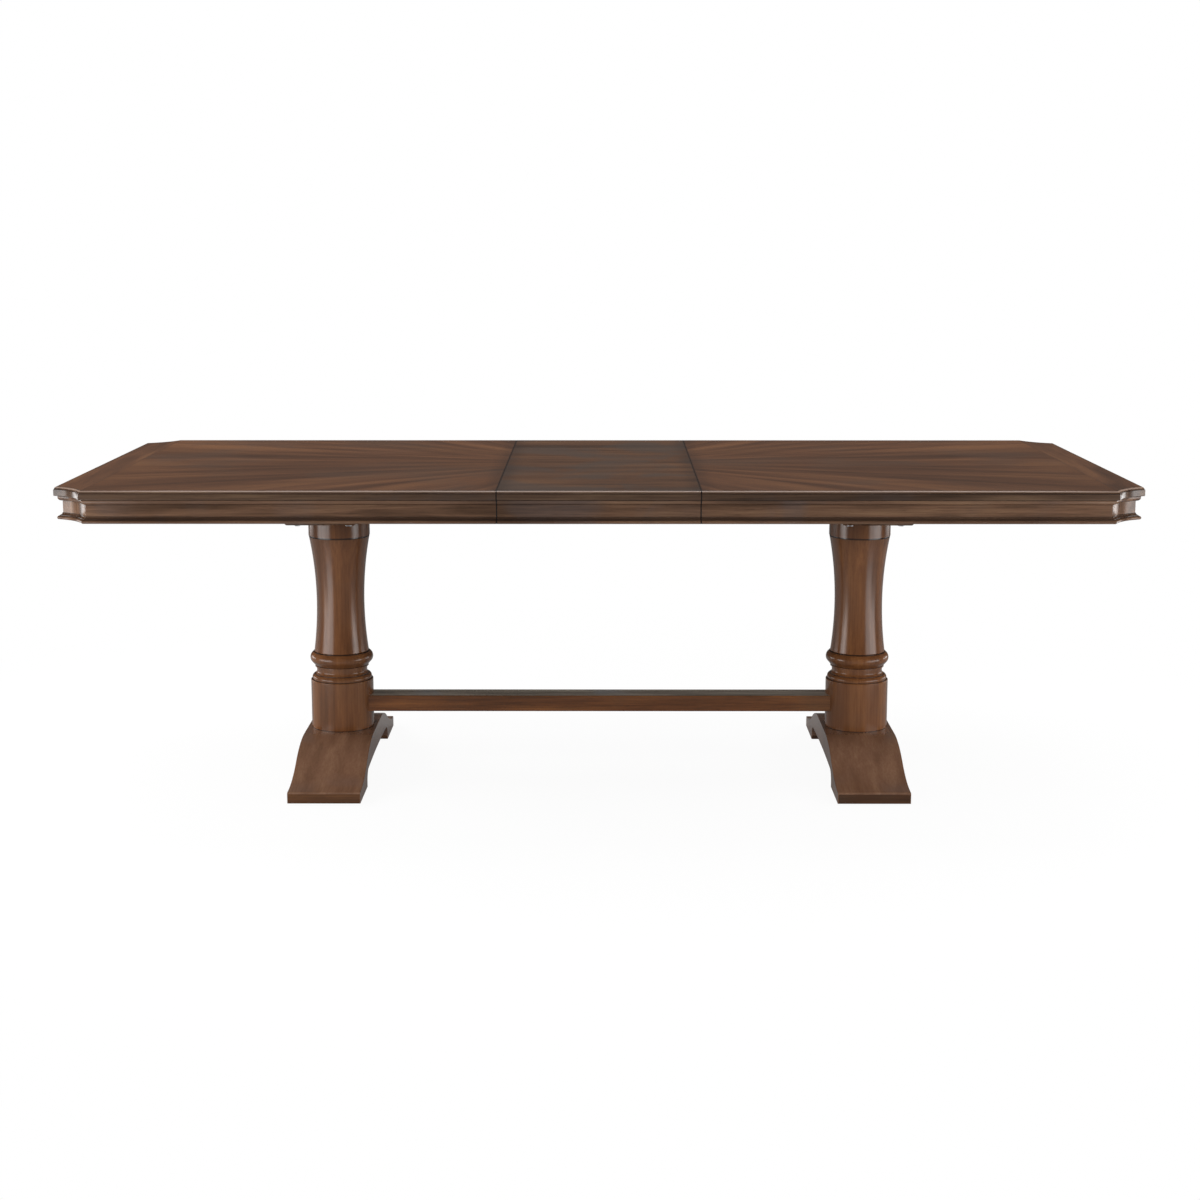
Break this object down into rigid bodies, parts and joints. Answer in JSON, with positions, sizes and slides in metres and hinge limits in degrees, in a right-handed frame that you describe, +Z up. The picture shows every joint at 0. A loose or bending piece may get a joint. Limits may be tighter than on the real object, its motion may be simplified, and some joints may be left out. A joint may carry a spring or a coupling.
{
  "type": "dining table",
  "caption": "Extending dining table on turned column pedestals joined by a stretcher, with geared slides, a removable leaf, a moulded apron and coved corners.",
  "frame": {"origin": "on the floor under the middle of the table top", "axes": "+X along the table to the right, +Y away from the front, +Z up"},
  "size_m": [2.448, 1.067, 0.762],
  "materials": {
    "dark_wood": "satin lacquer",
    "slide_wood": "plain",
    "steel": "zinc plated",
    "glide": "matte"
  },
  "bodies": {
    "base": {"left_foot": "dark_wood", "right_foot": "dark_wood", "left_column": "dark_wood", "right_column": "dark_wood", "left_top_board": "dark_wood", "right_top_board": "dark_wood", "stretcher": "dark_wood", "stretcher_bolt_plugs": "dark_wood", "front_fixed_rail": "slide_wood", "rear_fixed_rail": "slide_wood", "column_dowels": "slide_wood", "floor_glides": "glide", "tie_rods": "steel", "tie_rod_nuts": "steel", "tie_rod_washers": "steel", "board_bolts": "steel", "board_washers": "steel", "stretcher_bolts": "steel", "stretcher_barrel_nuts": "steel", "pinion_pins": "steel", "stop_pins": "steel"},
    "left_top": {"left_top_panel": "dark_wood", "left_end_apron": "dark_wood", "left_cross_batten": "slide_wood", "left_glue_blocks": "slide_wood", "left_panel_screws": "steel", "left_rack_screws": "steel", "left_front_apron": "dark_wood", "left_front_corner_apron": "dark_wood", "left_front_slide_rail": "slide_wood", "left_front_rack": "steel", "left_rear_apron": "dark_wood", "left_rear_corner_apron": "dark_wood", "left_rear_slide_rail": "slide_wood", "left_rear_rack": "steel"},
    "right_top": {"right_top_panel": "dark_wood", "right_end_apron": "dark_wood", "right_cross_batten": "slide_wood", "right_glue_blocks": "slide_wood", "right_panel_screws": "steel", "right_rack_screws": "steel", "right_front_apron": "dark_wood", "right_front_corner_apron": "dark_wood", "right_front_slide_rail": "slide_wood", "right_front_rack": "steel", "right_rear_apron": "dark_wood", "right_rear_corner_apron": "dark_wood", "right_rear_slide_rail": "slide_wood", "right_rear_rack": "steel"},
    "leaf": {"leaf_panel": "dark_wood", "leaf_front_apron": "dark_wood", "leaf_rear_apron": "dark_wood", "leaf_battens": "slide_wood", "leaf_glue_blocks": "slide_wood"},
    "front_pinion": {"front_pinion": "steel"},
    "rear_pinion": {"rear_pinion": "steel"}
  },
  "joints": [
    {"name": "left_slide", "type": "slide", "parent": "base", "child": "left_top", "axis": [-1, 0, 0], "range_m": [0, 0.06]},
    {"name": "right_slide", "type": "slide", "parent": "base", "child": "right_top", "axis": [1, 0, 0], "range_m": [0, 0.06]},
    {"name": "leaf_lift", "type": "slide", "parent": "base", "child": "leaf", "axis": [0, 0, 1], "range_m": [0, 0.15]},
    {"name": "front_pinion_spin", "type": "hinge", "parent": "base", "child": "front_pinion", "pos_m": [0, -0.281, 0.73], "axis": [0, 0, 1], "range_deg": [-287, 0]},
    {"name": "rear_pinion_spin", "type": "hinge", "parent": "base", "child": "rear_pinion", "pos_m": [0, 0.281, 0.73], "axis": [0, 0, 1], "range_deg": [0, 287]}
  ],
  "couplings": [
    {"joint": "right_slide", "follows": "left_slide", "ratio": 1},
    {"joint": "front_pinion_spin", "follows": "left_slide", "rad_per_m": -83.333},
    {"joint": "rear_pinion_spin", "follows": "left_slide", "rad_per_m": 83.333}
  ]
}
